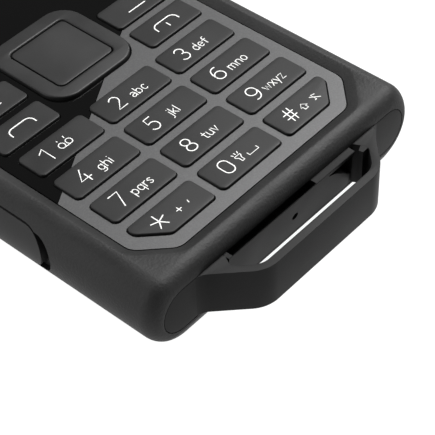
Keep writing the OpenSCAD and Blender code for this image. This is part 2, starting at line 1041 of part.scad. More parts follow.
front_housing();
rear_housing();
end_cap();
keypad_plate();
front_window();
display_module();
earpiece_mesh();
receiver();
keypad_membrane();
dome_sheet();
main_board();
shield_can();
patch_antenna();
battery();
battery_door();
door_seal();
coin_screw_left();
coin_screw_right();
battery_contacts();
sim_holder();
port_flap();
charge_socket();
volume_up_key();
volume_down_key();
talk_side_key();
loudspeaker();
microphone();
vibration_motor();
camera_module();
camera_lens();
flash_lens();
torch_lens();
antenna_sleeve();
antenna_mast();
antenna_tip();
antenna_seal();
housing_screws();
key_1();
key_2();
key_3();
key_4();
key_5();
key_6();
key_7();
key_8();
key_9();
key_star();
key_0();
key_hash();
call_key();
end_key();
soft_key_left();
soft_key_right();
nav_pivot();
nav_ring();
nav_centre();
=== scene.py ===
# %% [markdown]
# # A rugged phone, dressed for its portrait
# The solid model of the phone is already exact: every piece has its real size and place.
# This lesson adds what a solid model lacks: softly moulded rubber, printed key legends,
# rounded plastic edges, and finishes that catch light as the real ones do.
# Everything is in metres, in the solid model's own frame, so nothing needs fitting.

# %% Load the solid model
import math
import bmesh
import bpy
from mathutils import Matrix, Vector


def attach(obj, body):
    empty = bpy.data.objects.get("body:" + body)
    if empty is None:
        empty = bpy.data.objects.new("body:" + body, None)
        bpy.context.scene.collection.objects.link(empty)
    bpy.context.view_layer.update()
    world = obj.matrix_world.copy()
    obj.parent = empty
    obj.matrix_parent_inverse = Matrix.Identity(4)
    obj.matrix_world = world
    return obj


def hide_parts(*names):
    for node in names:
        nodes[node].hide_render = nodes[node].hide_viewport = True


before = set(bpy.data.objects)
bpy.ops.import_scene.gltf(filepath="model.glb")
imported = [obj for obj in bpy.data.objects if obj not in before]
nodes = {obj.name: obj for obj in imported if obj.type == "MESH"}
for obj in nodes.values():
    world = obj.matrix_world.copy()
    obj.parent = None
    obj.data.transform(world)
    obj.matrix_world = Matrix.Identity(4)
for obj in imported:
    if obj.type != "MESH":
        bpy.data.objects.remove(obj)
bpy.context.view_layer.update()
print("pieces in the solid model:", len(nodes))

# %% [markdown]
# ## Working in millimetres
# The phone's sizes are small, so the script thinks in millimetres and converts once,
# when a mesh is made. Colours are written as a designer would, in sRGB hex, and one
# function turns them into the linear light values that the shaders need.

# %% Units and colours
MM = 0.001

def hex_colour(code):
    parts = [int(code[i:i + 2], 16) / 255 for i in (1, 3, 5)]
    linear = [c / 12.92 if c <= 0.04045 else ((c + 0.055) / 1.055) ** 2.4 for c in parts]
    return (*linear, 1.0)

print("mid grey in linear light:", round(hex_colour("#808080")[0], 3))

# %% [markdown]
# ## One small function for shader nodes
# A finish is a little graph of nodes. This function adds one node, sets its values and
# wires its inputs, so that each material below reads like a recipe.

# %% Add a node
def add_node(tree, kind, values=None, wires=None):
    made = tree.nodes.new(kind)
    for name, value in (values or {}).items():
        if isinstance(name, int) or name in made.inputs:
            made.inputs[name].default_value = value
        else:
            setattr(made, name, value)
    for name, source in (wires or {}).items():
        tree.links.new(source, made.inputs[name])
    return made

def start_finish(name):
    mat = bpy.data.materials.new(name)
    mat.use_nodes = True
    tree = mat.node_tree
    tree.nodes.clear()
    place = add_node(tree, "ShaderNodeTexCoord").outputs["Object"]
    return mat, tree, place

def close_finish(tree, shader):
    add_node(tree, "ShaderNodeOutputMaterial", wires={"Surface": shader})

# %% Shorthand for the nodes that most finishes share
# A colour Mix node keeps its two colours in sockets 6 and 7 and its result in socket 2
FIRST_COLOUR, SECOND_COLOUR, MIXED = 6, 7, 2
PER_METRE = 1000

def blend(tree, first, second, factor):
    mix = add_node(tree, "ShaderNodeMix", {"data_type": "RGBA"}, {"Factor": factor})
    mix.inputs[FIRST_COLOUR].default_value = hex_colour(first)
    mix.inputs[SECOND_COLOUR].default_value = hex_colour(second)
    return mix.outputs[MIXED]

def noise(tree, place, size_mm, detail, roughness=0.5):
    made = add_node(tree, "ShaderNodeTexNoise",
                    {"Scale": PER_METRE / size_mm, "Detail": detail, "Roughness": roughness},
                    {"Vector": place})
    return made.outputs["Fac"]

def bumps(tree, height, strength, depth_mm):
    made = add_node(tree, "ShaderNodeBump",
                    {"Strength": strength, "Distance": depth_mm * MM}, {"Height": height})
    return made.outputs["Normal"]

def roughness_between(tree, source, low, high, start=0.3, stop=0.7):
    made = add_node(tree, "ShaderNodeMapRange",
                    {"From Min": start, "From Max": stop, "To Min": low, "To Max": high},
                    {"Value": source})
    return made.outputs["Result"]

def surface(tree, values, wires):
    close_finish(tree, add_node(tree, "ShaderNodeBsdfPrincipled", values, wires).outputs[0])

# %% [markdown]
# ## Moulded surfaces
# Rubber and plastic parts come out of steel moulds whose faces are spark-eroded, which
# leaves a fine grain of 0.1 to 0.5 mm. Under a soft light the grain is what keeps a dark
# part from looking like flat paint. One recipe serves them all: a grain for the bump, a
# slow cloud for the slight change of tone that handling gives, and a little of the cloud
# in the roughness. The sheen is set below that of a polished face, because part of the
# light is lost between the grains.

# %% The moulded finish
CLOUD_MM = 9.0
GRAIN_SHARE = 0.45
ROUGHNESS_SWING = 0.05
BUMP_STRENGTH = 0.6

def moulded(name, dark, light, rough, grain_mm, depth_mm, ior=1.5, sheen=0.3):
    mat, tree, place = start_finish(name)
    grain = noise(tree, place, grain_mm, 2.0, 0.6)
    cloud = noise(tree, place, CLOUD_MM, 3.0)
    both = add_node(tree, "ShaderNodeMath", {"operation": "MULTIPLY_ADD", 1: GRAIN_SHARE},
                    {0: grain, 2: cloud})
    tone = add_node(tree, "ShaderNodeValToRGB", wires={"Fac": both.outputs[0]})
    for stop, position, colour in zip(tone.color_ramp.elements, (0.45, 1.0), (dark, light)):
        stop.position = position
        stop.color = hex_colour(colour)
    surface(tree, {"IOR": ior, "Specular IOR Level": sheen},
            {"Base Color": tone.outputs["Color"],
             "Roughness": roughness_between(tree, cloud, rough - ROUGHNESS_SWING,
                                            rough + ROUGHNESS_SWING),
             "Normal": bumps(tree, grain, BUMP_STRENGTH, depth_mm)})
    return mat

# Thermoplastic polyurethane, moulded over the shell: soft, matt, with a faint sheen
rubber = moulded("TPU_overmould", "#121212", "#202020", 0.6, 0.45, 0.12, sheen=0.26)
# The small separate rubber parts: the port cover and the side keys
rubber_small = moulded("TPU_small_parts", "#161616", "#202020", 0.6, 0.3, 0.02)
# Glass-filled nylon of the back, the door and the antenna, harder than the rubber
nylon = moulded("glass_filled_nylon", "#1b1b1c", "#252526", 0.5, 0.4, 0.03)
# The end plate and loop: the same nylon, polished a little smoother
nylon_end = moulded("satin_nylon", "#1c1c1c", "#242424", 0.45, 0.25, 0.01, sheen=0.06)
# Polycarbonate caps of the keys and the ring, with a fine matt grain
key_plastic = moulded("polycarbonate_keys", "#161616", "#1e1e1e", 0.5, 0.25, 0.012, sheen=0.2)
ring_plastic = moulded("polycarbonate_ring", "#1b1b1b", "#222222", 0.45, 0.25, 0.01, sheen=0.22)
# The sheet under the keys, and the door's and the antenna's seals
silicone = moulded("silicone_rubber", "#5a5d5f", "#6d7072", 0.5, 0.5, 0.01, ior=1.41)
seal_rubber = moulded("nitrile_rubber", "#141414", "#1d1d1d", 0.55, 0.3, 0.01)
print("moulded finishes made")

# %% [markdown]
# ## Satin paint on aluminium
# The plate round the keys is thin aluminium sheet sprayed with a grey metallic paint.
# Metallic paint holds small flakes lying at slightly different tilts, so it twinkles
# faintly and brightens towards the light. Half metallic with a flake-sized cell pattern
# gives that; the real flakes are near 0.05 mm, drawn here at 0.25 mm so that they show.

# %% The plate's paint
FLAKE_MM, TILT_MM = 0.25, 0.35

def flake_paint():
    mat, tree, place = start_finish("satin_metallic_paint")
    flakes = add_node(tree, "ShaderNodeTexVoronoi", {"Scale": PER_METRE / FLAKE_MM},
                      {"Vector": place})
    tilt = noise(tree, place, TILT_MM, 1.0)
    surface(tree, {"Metallic": 0.45, "Roughness": 0.42, "IOR": 1.5},
            {"Base Color": blend(tree, "#3c3c3d", "#494949", flakes.outputs["Distance"]),
             "Normal": bumps(tree, tilt, 0.25, 0.006)})
    return mat

plate_paint = flake_paint()

# %% [markdown]
# ## The black window
# The window is clear acrylic, printed black on its back face, except over the display.
# The printed part is a deep even black under a hard gloss. Over the display the eye
# meets the switched-off liquid crystal, a touch greyer, so a mask in the phone's own
# coordinates tells the two apart.

# %% The window's finish
DISPLAY_X, DISPLAY_LOW, DISPLAY_HIGH = 18.4, 1.5, 50.5
SMUDGE_MM = 14.0

def gloss_window():
    mat, tree, place = start_finish("black_printed_acrylic")
    split = add_node(tree, "ShaderNodeSeparateXYZ", wires={"Vector": place})
    inside = None
    edges = [("X", -DISPLAY_X, "GREATER_THAN"), ("X", DISPLAY_X, "LESS_THAN"),
             ("Y", DISPLAY_LOW, "GREATER_THAN"), ("Y", DISPLAY_HIGH, "LESS_THAN")]
    for axis, edge, side in edges:
        step = add_node(tree, "ShaderNodeMath", {"operation": side, 1: edge * MM},
                        {0: split.outputs[axis]}).outputs[0]
        if inside is None:
            inside = step
        else:
            inside = add_node(tree, "ShaderNodeMath", {"operation": "MULTIPLY"},
                              {0: inside, 1: step}).outputs[0]
    smudge = noise(tree, place, SMUDGE_MM, 4.0)
    surface(tree, {"IOR": 1.49},
            {"Base Color": blend(tree, "#030303", "#0b0d0f", inside),
             "Roughness": roughness_between(tree, smudge, 0.09, 0.12, 0.35, 0.75)})
    return mat

window_black = gloss_window()

# %% [markdown]
# ## Metals, board and glass
# Inside and on the back there are plated steel screws, stamped nickel-silver cans, a
# brass antenna tube, a green circuit board and clear lenses. Of these only the screws,
# the lenses and the mesh over the earpiece show while the door is on, so one metal
# recipe with fine brush lines serves all the metals.

# %% Metals
BRUSH_LINE_MM = 0.2
BRUSH_STRETCH = 0.06
BRUSH_SWING = 0.08

def brushed_metal(name, colour, rough):
    mat, tree, place = start_finish(name)
    stretch = add_node(tree, "ShaderNodeMapping", {"Scale": (1.0, BRUSH_STRETCH, 1.0)},
                       {"Vector": place})
    lines = noise(tree, stretch.outputs[0], BRUSH_LINE_MM, 2.0)
    surface(tree, {"Base Color": hex_colour(colour), "Metallic": 1.0},
            {"Roughness": roughness_between(tree, lines, rough - BRUSH_SWING,
                                            rough + BRUSH_SWING),
             "Normal": bumps(tree, lines, 0.3, 0.004)})
    return mat

screw_metal = brushed_metal("zinc_nickel_screws", "#8d8f92", 0.34)
can_metal = brushed_metal("nickel_silver_stampings", "#b8b6b0", 0.3)
brass = brushed_metal("brass_tube", "#c9a45a", 0.3)
mesh_metal = brushed_metal("blackened_steel_mesh", "#2c2d2f", 0.45)

# %% Circuit board, ceramic, battery wrap and lenses
board_green = moulded("solder_mask_on_laminate", "#10402a", "#195638", 0.35, 1.2, 0.02)
film = moulded("polyester_film", "#b9b9b2", "#cfcfc8", 0.3, 0.8, 0.005)
ceramic = moulded("fired_ceramic", "#cdbf9f", "#dfd3b6", 0.4, 0.3, 0.01)
battery_wrap = moulded("printed_battery_wrap", "#2c3036", "#3a3f46", 0.35, 0.6, 0.005)
RIB_MM = 0.8

def clear_lens(name, colour, rough):
    mat, tree, place = start_finish(name)
    ribs = noise(tree, place, RIB_MM, 1.0)
    surface(tree, {"Roughness": rough, "IOR": 1.52, "Transmission Weight": 0.75},
            {"Base Color": blend(tree, colour, "#ffffff", ribs),
             "Normal": bumps(tree, ribs, 0.2, 0.01)})
    return mat

torch_glass = clear_lens("polycarbonate_torch_lens", "#e8edf0", 0.15)
flash_glass = clear_lens("diffused_flash_lens", "#efe6c4", 0.35)
camera_glass = moulded("coated_camera_glass", "#0a0d12", "#10141c", 0.08, 2.0, 0.001)

# %% [markdown]
# ## Screen-printed ink
# The legends on the keys are white ink, printed and baked. Ink is slightly raised,
# fully matt and not quite pure white; tiny pinholes keep it from looking like light.

# %% The ink
PINHOLE_MM = 0.15

def printed_ink():
    mat, tree, place = start_finish("white_legend_ink")
    pinholes = noise(tree, place, PINHOLE_MM, 1.0)
    surface(tree, {"Roughness": 0.6, "IOR": 1.5},
            {"Base Color": blend(tree, "#c4c4c2", "#d2d2d0", pinholes)})
    return mat

ink_white = printed_ink()

# %% [markdown]
# ## Outlines
# Most of the phone's pieces are thin plates with rounded corners. An outline is a list
# of points in millimetres, and a corner is turned into an arc by replacing its point
# with a short fan of points.

# %% Round the corners of an outline
def round_corners(points, radius, steps=6):
    count = len(points)
    radii = radius if isinstance(radius, (list, tuple)) else [radius] * count
    out = []
    for i, point in enumerate(points):
        before, here, after = points[i - 1], point, points[(i + 1) % count]
        a = Vector(before) - Vector(here)
        b = Vector(after) - Vector(here)
        r = radii[i]
        if r <= 0:
            out.append(tuple(here))
            continue
        half = a.angle(b) / 2
        back = min(r / math.tan(half), a.length * 0.49, b.length * 0.49)
        r = back * math.tan(half)
        p0 = Vector(here) + a.normalized() * back
        p1 = Vector(here) + b.normalized() * back
        mid = (a.normalized() + b.normalized()).normalized()
        centre = Vector(here) + mid * (r / math.sin(half))
        v0, v1 = p0 - centre, p1 - centre
        turn = math.atan2(v0.x * v1.y - v0.y * v1.x, v0.dot(v1))
        for k in range(steps + 1):
            t = turn * k / steps
            c, s = math.cos(t), math.sin(t)
            out.append((centre.x + v0.x * c - v0.y * s, centre.y + v0.x * s + v0.y * c))
    return out

def box_outline(x, y, w, h, r, steps=6):
    pts = [(x - w / 2, y - h / 2), (x + w / 2, y - h / 2),
           (x + w / 2, y + h / 2), (x - w / 2, y + h / 2)]
    return round_corners(pts, r, steps)

def circle_outline(x, y, r, steps=48):
    turns = [2 * math.pi * k / steps for k in range(steps)]
    return [(x + r * math.cos(t), y + r * math.sin(t)) for t in turns]

# %% [markdown]
# ## From outline to plate
# A filled 2D curve with a small bevel is the quickest way to a plate with holes whose
# edges are truly rounded, which is what makes a moulded part look moulded. The curve is
# pulled in by the bevel's own size first, so the plate ends exactly on its outline.

# %% Make a plate
def to_axes(u, v, w, axis):
    if axis == "z":
        return (u, v, w)
    if axis == "y":
        return (u, w, v)
    return (w, u, v)

def finish_mesh(obj, material, body, crease=32.0):
    mesh = obj.data
    mesh.materials.clear()
    mesh.materials.append(material)
    for poly in mesh.polygons:
        poly.use_smooth = True
        poly.material_index = 0
    mesh.set_sharp_from_angle(angle=math.radians(crease))
    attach(obj, body)
    return obj

def add_object(name, data):
    obj = bpy.data.objects.new(name, data)
    bpy.context.scene.collection.objects.link(obj)
    return obj

def object_from(bm, name):
    mesh = bpy.data.meshes.new(name)
    bm.to_mesh(mesh)
    bm.free()
    return add_object(name, mesh)

def settled_mesh(obj):
    bpy.context.view_layer.update()
    return bpy.data.meshes.new_from_object(
        obj.evaluated_get(bpy.context.evaluated_depsgraph_get()))

WELD_MM = 0.0005

def plate_mesh(name, loops, low, high, edge, axis="z", rounds=3):
    curve = bpy.data.curves.new(name + "_outline", "CURVE")
    curve.dimensions = "2D"
    curve.fill_mode = "BOTH"
    curve.extrude = (high - low) / 2 - edge
    curve.bevel_depth = edge
    curve.bevel_resolution = rounds
    curve.offset = -edge
    for loop in loops:
        spline = curve.splines.new("POLY")
        spline.points.add(len(loop) - 1)
        for point, (u, v) in zip(spline.points, loop):
            point.co = (u, v, 0, 1)
        spline.use_cyclic_u = True
    drawn = add_object(name + "_outline", curve)
    made = settled_mesh(drawn)
    bm = bmesh.new()
    bm.from_mesh(made)
    bmesh.ops.remove_doubles(bm, verts=bm.verts, dist=WELD_MM)
    middle = (low + high) / 2
    for vert in bm.verts:
        u, v, w = vert.co
        vert.co = Vector(to_axes(u, v, w + middle, axis)) * MM
    bmesh.ops.recalc_face_normals(bm, faces=bm.faces)
    bpy.data.objects.remove(drawn)
    bpy.data.meshes.remove(made)
    return object_from(bm, name)

trial = plate_mesh("trial", [box_outline(0, 0, 10, 6, 1)], 0, 2, 0.3)
print("a trial plate has", len(trial.data.polygons), "faces")
bpy.data.objects.remove(trial)

# %% [markdown]
# ## The body as a loft
# The rubber body is one soft form: flat back and front, round sides, and ends that roll
# over into the end plate. A loft makes it: the same number of points on every ring, each
# ring a little further along the phone. Points are placed by the direction their surface
# faces, so the roll from side to end stays smooth all the way round.

# %% Rings of the body
END_Y, TOP_Y = -67.6, 70.7
SIDE_R, SIDE_X, RIM_Z = 8.04, 23.01, 14.5
MID_Z = SIDE_R
SHOULDER_R = 3.0
SHOULDER_Z = RIM_Z - SHOULDER_R
SHOULDER_X = SIDE_X + math.sqrt((SIDE_R - SHOULDER_R) ** 2 - (SHOULDER_Z - MID_Z) ** 2)
SHOULDER_TURN = math.asin((SHOULDER_Z - MID_Z) / (SIDE_R - SHOULDER_R))
ARC_STEPS = 36
TURNS = [math.radians(-90 + 180 * k / ARC_STEPS) for k in range(ARC_STEPS + 1)]
# The flat left at each end: half width, lowest and highest point
END_FACE, TOP_FACE = (28.75, 3.3, 11.8), (28.4, 2.6, 12.2)
END_ROLL, TOP_ROLL, ROLL_STEPS = 2.8, 3.2, 12

def side_point(turn):
    if turn < SHOULDER_TURN:
        return SIDE_X + SIDE_R * math.cos(turn), MID_Z + SIDE_R * math.sin(turn)
    return (SHOULDER_X + SHOULDER_R * math.cos(turn),
            SHOULDER_Z + SHOULDER_R * math.sin(turn))

def ring_of(right_side, flat_steps=12):
    left = [(-x, z) for x, z in reversed(right_side)]
    ring = list(right_side)
    for start, stop, nxt in ((right_side[-1], left[0], left), (left[-1], right_side[0], [])):
        for k in range(1, flat_steps):
            f = k / flat_steps
            ring.append((start[0] + (stop[0] - start[0]) * f,
                         start[1] + (stop[1] - start[1]) * f))
        ring.extend(nxt)
    return ring

full_ring = ring_of([side_point(t) for t in TURNS])

def face_ring(half_width, low, high):
    r = (high - low) / 2
    mid = (high + low) / 2
    return ring_of([(half_width - r + r * math.cos(t), mid + r * math.sin(t))
                    for t in TURNS])

def rolled_end(face, y, depth):
    rings = []
    for k in range(ROLL_STEPS + 1):
        t = math.pi / 2 * k / ROLL_STEPS
        ring = [(a[0] + (b[0] - a[0]) * math.sin(t), a[1] + (b[1] - a[1]) * math.sin(t))
                for a, b in zip(face_ring(*face), full_ring)]
        rings.append((y + depth * (1 - math.cos(t)), ring))
    return rings

def skin(name, rings):
    bm = bmesh.new()
    rows = [[bm.verts.new(point) for point in ring] for ring in rings]
    for a, b in zip(rows, rows[1:]):
        for i in range(len(a)):
            j = (i + 1) % len(a)
            bm.faces.new((a[i], a[j], b[j], b[i]))
    bm.faces.new(rows[0])
    bm.faces.new(rows[-1])
    bmesh.ops.recalc_face_normals(bm, faces=bm.faces)
    return object_from(bm, name)

def body_solid(name):
    rings = rolled_end(END_FACE, END_Y, END_ROLL)
    rings += reversed(rolled_end(TOP_FACE, TOP_Y, -TOP_ROLL))
    return skin(name, [[(x * MM, y * MM, z * MM) for x, z in ring] for y, ring in rings])

# %% [markdown]
# ## Cutting
# A boolean cuts the way a milling cutter would. Each cutter here is a plain prism, used
# once and thrown away, and the exact solver keeps the cut edges crisp.

# %% Cutters
# Half sizes of a cutter that has to pass right through the phone
WIDE, LONG = 40, 80

def prism(loop, low, high, axis="z"):
    return skin("cutter", [[Vector(to_axes(u, v, w, axis)) * MM for u, v in loop]
                           for w in (low, high)])

def block(x0, x1, y0, y1, z0, z1):
    return prism([(x0, y0), (x1, y0), (x1, y1), (x0, y1)], z0, z1)

def drill(x, y, r, low, high, axis="z", steps=48):
    return prism(circle_outline(x, y, r, steps), low, high, axis)

def carve(target, cutter, how="DIFFERENCE"):
    change = target.modifiers.new("carve", "BOOLEAN")
    change.operation = how
    change.solver = "EXACT"
    change.object = cutter
    made = settled_mesh(target)
    target.modifiers.clear()
    old = target.data
    target.data = made
    bpy.data.meshes.remove(old)
    bpy.data.objects.remove(cutter)
    return target

def stadium(y, z, length, height, steps=14):
    r = height / 2
    flat = length / 2 - r
    out = []
    for side in (1, -1):
        for k in range(steps + 1):
            t = math.pi * k / steps - side * math.pi / 2
            out.append((y + side * flat + r * math.cos(t), z + r * math.sin(t)))
    return out

# %% [markdown]
# ## The opening in the front
# The key plate and the window lie in an eight-sided well with a sloping rubber rim. The
# rim's inner and outer outlines have the same number of points, so one skin joins them.

# %% The rim and its well
OPEN_HALF, OPEN_LOW, OPEN_HIGH, OPEN_CUT = 25.0, -63.05, 65.0, 5.2
OPEN_R, RIM_W = 3.0, 1.8
# A 45 degree corner moved outwards by one unit shortens its straight by this much
CORNER_GAIN = 0.5858
FACE_LOW, FACE_TOP = 12.9, 13.7
# How far the rim stands outside the opening, and at what height
RIM_LEVELS = [(0.13, FACE_LOW), (0.13, 13.68), (0.19, 13.74), (RIM_W - 0.12, 14.42),
              (RIM_W + 0.25, 14.56), (RIM_W + 0.25, 16.0)]

def well_outline(grow, radius):
    x, lo, hi = OPEN_HALF + grow, OPEN_LOW - grow, OPEN_HIGH + grow
    c = OPEN_CUT + grow * CORNER_GAIN
    pts = [(-x, lo + c), (-x + c, lo), (x - c, lo), (x, lo + c),
           (x, hi - c), (x - c, hi), (-x + c, hi), (-x, hi - c)]
    return round_corners(pts, radius, 6)

def rim_cutter():
    return skin("cutter", [[(x * MM, y * MM, z * MM)
                            for x, y in well_outline(grow, OPEN_R + grow)]
                           for grow, z in RIM_LEVELS])

# %% [markdown]
# ## The front shell
# Both shells are hollow, because the inside has its own pieces. The front one has a
# ledge round the well for the plate and the window to lie on, and the seats of the port
# cover and the side keys.

# %% Places shared by both shells
# Heights and depths at which a cutter starts, clear of the outside
BELOW, BEYOND_TOP = -1, 72
SPLIT_LOW, SPLIT_HIGH = 2.92, 3.0
PLATE_Z, PLATE_W, PLATE_H, SEAT_GAP = 7.55, 57.2, 8.3, 0.1
PLATE_BACK = -65.3
SOCKET_Y, SOCKET_Z, SOCKET_HALF_L, SOCKET_HALF_H = -30.0, 7.6, 5.2, 2.3
ANTENNA_X, ANTENNA_Z = 23.2, 7.4
TORCH_X, TORCH_R = -12, 3.1
SIDE_KEYS = [(-1, 17), (-1, 33), (1, -22)]
STEM_R, STEM_IN, STEM_OUT = 1.9, 25.5, 29.6

def side_span(side, inner, outer):
    return (-outer, -inner) if side < 0 else (inner, outer)

def plate_seat():
    return prism(stadium(0, PLATE_Z, PLATE_W + 2 * SEAT_GAP, PLATE_H + 2 * SEAT_GAP),
                 -69.0, PLATE_BACK, "y")

def stem_hole(side, y):
    return drill(y, MID_Z, STEM_R, *side_span(side, STEM_IN, STEM_OUT), "x", 24)

# %% The front shell
FLAP_Y, FLAP_L, FLAP_H, FLAP_GAP = -29.8, 29.6, 7.8, 0.3
FLAP_FLOOR, NOTCH_FLOOR, NOTCH_H, NOTCH_SHIFT = -29.15, -29.35, 7.2, 2
SIDE_OUT, SIDE_KEY_FLOOR, SIDE_KEY_L, SIDE_KEY_H = 33.0, 29.05, 12.6, 5.0
FRONT_ROOM = (-28, 28, -64.9, 68.0, 2.0, 12.0)
LEDGE, LEDGE_R = 1.05, 2.0
ANTENNA_MOUTH_R = 3.9

front = body_solid("front_shell")
carve(front, block(-WIDE, WIDE, -LONG, LONG, -2, SPLIT_HIGH))
carve(front, block(*FRONT_ROOM))
carve(front, rim_cutter())
carve(front, prism(well_outline(-LEDGE, LEDGE_R), 11.0, 13.1))
carve(front, plate_seat())
# The port cover's seat is round at the lower end and square at the hinge; a fingernail
# lifts the cover at the notch below its lower end
carve(front, prism(stadium(FLAP_Y - NOTCH_SHIFT, MID_Z, FLAP_L, NOTCH_H),
                   -SIDE_OUT, NOTCH_FLOOR, "x"))
carve(front, prism(stadium(FLAP_Y + 0.15, MID_Z, FLAP_L + 0.7, FLAP_H + 2 * FLAP_GAP),
                   -SIDE_OUT, FLAP_FLOOR, "x"))
half = FLAP_H / 2 + FLAP_GAP
hinge_y = FLAP_Y + FLAP_L / 2 + 0.45
carve(front, prism([(FLAP_Y, MID_Z - half), (hinge_y, MID_Z - half),
                    (hinge_y, MID_Z + half), (FLAP_Y, MID_Z + half)],
                   -SIDE_OUT, FLAP_FLOOR, "x"))
carve(front, block(-31, -27, SOCKET_Y - SOCKET_HALF_L, SOCKET_Y + SOCKET_HALF_L,
                   SOCKET_Z - SOCKET_HALF_H, SOCKET_Z + SOCKET_HALF_H))
for side, y in SIDE_KEYS:
    carve(front, prism(stadium(y, MID_Z, SIDE_KEY_L, SIDE_KEY_H),
                       *side_span(side, SIDE_KEY_FLOOR, SIDE_OUT), "x"))
    carve(front, stem_hole(side, y))
carve(front, drill(ANTENNA_X, ANTENNA_Z, ANTENNA_MOUTH_R, 67, BEYOND_TOP, "y"))
carve(front, drill(TORCH_X, MID_Z, TORCH_R, 67, BEYOND_TOP, "y"))
finish_mesh(front, rubber, "phone")
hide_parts("front_housing")
print("front shell faces:", len(front.data.polygons))

# %% [markdown]
# ## The back shell
# The back is the other half of the same loft, so the two halves meet in one thin line.
# Its inner tray carries the battery well, which shows when the door is lifted off. At
# the lower end its edge slopes away under the end plate, which leaves a slit of light.

# %% The back shell
TRAY = (-27.7, 27.7, -64.6, 67.7, 2.5, 8.55)
WELL = (-20.5, 20.5, -53.5, -1.5, BELOW, 8.0)
CONTACTS_ROOM = (-7, 7, -2.5, 1.5, 2.6, 9.6)
ROOM_TOP = 9.6
DOOR_Y, DOOR_W, DOOR_L, DOOR_R, DOOR_GAP, DOOR_SEAT = -27.5, 47.0, 66.0, 3.3, 0.3, 1.9
COIN_X, COIN_Y, COIN_R, COIN_TOP = 14.0, -55.5, 1.75, 5.4
RELIEF_TOP, RELIEF_HALF = 2.95, 18.5
RELIEF = [(END_Y - 1, RELIEF_TOP), (END_Y + 0.02, RELIEF_TOP), (END_Y + 2.3, -0.05),
          (END_Y - 1, -0.05)]
ANTENNA_ROOM_R = 4.5
CAMERA_X, FLASH_X, LENS_Y = -8, 4, 48
CAMERA_R, CAMERA_SEAT_R, FLASH_R = 2.9, 5.2, 2.7
SPEAKER_X, SPEAKER_Y, SLOT_PITCH = -8, 27, 2.2
SCREW_R, SCREW_SEAT = 1.8, 1.9
SCREWS = [(-25.7, -61.2), (25.7, -61.2), (-25.7, -6), (25.7, -6), (-25.7, 64.4), (13.5, 66.0)]

back = body_solid("back_shell")
carve(back, block(-WIDE, WIDE, -LONG, LONG, SPLIT_LOW, 20))
carve(back, block(*TRAY), "UNION")
carve(back, block(*WELL))
carve(back, prism(box_outline(0, DOOR_Y, DOOR_W + 2 * DOOR_GAP, DOOR_L + 2 * DOOR_GAP, DOOR_R),
                  BELOW, DOOR_SEAT))
carve(back, plate_seat())
carve(back, prism(RELIEF, -RELIEF_HALF, RELIEF_HALF, "x"))
for side in (-1, 1):
    carve(back, drill(side * COIN_X, COIN_Y, COIN_R, BELOW, COIN_TOP))
# Room for the battery contacts, the charging socket, the antenna tube and the torch
carve(back, block(*CONTACTS_ROOM))
carve(back, block(-29, -21.1, SOCKET_Y - SOCKET_HALF_L, SOCKET_Y + SOCKET_HALF_L,
                  SOCKET_Z - SOCKET_HALF_H, ROOM_TOP))
carve(back, drill(ANTENNA_X, ANTENNA_Z, ANTENNA_ROOM_R, 0, BEYOND_TOP, "y"))
carve(back, drill(TORCH_X, MID_Z, TORCH_R, 62.5, BEYOND_TOP, "y"))
# Camera with a wider seat for its lens, and the flash
carve(back, drill(CAMERA_X, LENS_Y, CAMERA_R, BELOW, 3))
carve(back, drill(CAMERA_X, LENS_Y, CAMERA_SEAT_R, BELOW, 1.0))
carve(back, drill(FLASH_X, LENS_Y, FLASH_R, BELOW, 3.0))
# Loudspeaker: its room and five slots
carve(back, prism(box_outline(SPEAKER_X, SPEAKER_Y, 19, 13, 1.2), 2.1, ROOM_TOP))
for k in range(-2, 3):
    slot = box_outline(SPEAKER_X, SPEAKER_Y + k * SLOT_PITCH, 12, 1.0, 0.45)
    carve(back, prism(slot, BELOW, 3))
for x, y in SCREWS:
    carve(back, drill(x, y, SCREW_R, BELOW, SCREW_SEAT, steps=24))
for side, y in SIDE_KEYS:
    carve(back, stem_hole(side, y))
finish_mesh(back, nylon, "phone")
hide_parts("rear_housing")
print("back shell faces:", len(back.data.polygons))

# %% [markdown]
# ## End plate and lanyard loop
# One nylon piece closes the lower end and carries the loop. The loop leaves the plate
# in wide fillets, runs out at 45 degrees and turns into a straight front bar, like the
# bail of a bucket. It is drawn in plan with real arcs and given a thin rounded edge.
# Between the two arms the plate leans outward until its top is level with the loop. A
# strap goes in at the top, through the pocket behind the left part of that wall, runs
# along inside it under the lip, and comes out of the slanting hole at the right.

# %% The end plate
LOOP_LOW, LOOP_TOP = 3.4, 11.7
WALL_LEAN, WALL_LEFT, WALL_RIGHT = 1.3, -15.6, 14.3
PASSAGE_LOW, LIP_Z, PASSAGE_IN = 8.6, 10.9, END_Y + 1.4
PASSAGE_LEFT, PASSAGE_MID, PASSAGE_RIGHT = -14.8, 4.9, 15.2
MIC_X, MIC_Z, MIC_R = 0.4, 7.7, 0.68

plate_end = plate_mesh("end_plate", [stadium(0, PLATE_Z, PLATE_W, PLATE_H, 18)],
                       END_Y, PLATE_BACK, 0.12, "y")
wall_y = END_Y - WALL_LEAN
lean = [(END_Y + 0.6, LOOP_LOW), (END_Y, LOOP_LOW), (wall_y, LOOP_TOP - 0.08),
        (wall_y + 0.08, LOOP_TOP), (END_Y + 0.6, LOOP_TOP)]
carve(plate_end, prism(lean, WALL_LEFT, WALL_RIGHT, "x"), "UNION")
pocket = [(wall_y + 0.1, 12.0), (wall_y + 0.1, LOOP_TOP - 0.04),
          (END_Y - 0.2, PASSAGE_LOW), (PASSAGE_IN, PASSAGE_LOW), (PASSAGE_IN, 12.0)]
carve(plate_end, prism(pocket, PASSAGE_LEFT, PASSAGE_MID, "x"))
carve(plate_end, block(PASSAGE_MID - 0.1, PASSAGE_RIGHT, END_Y - 0.2, PASSAGE_IN,
                       PASSAGE_LOW, LIP_Z))
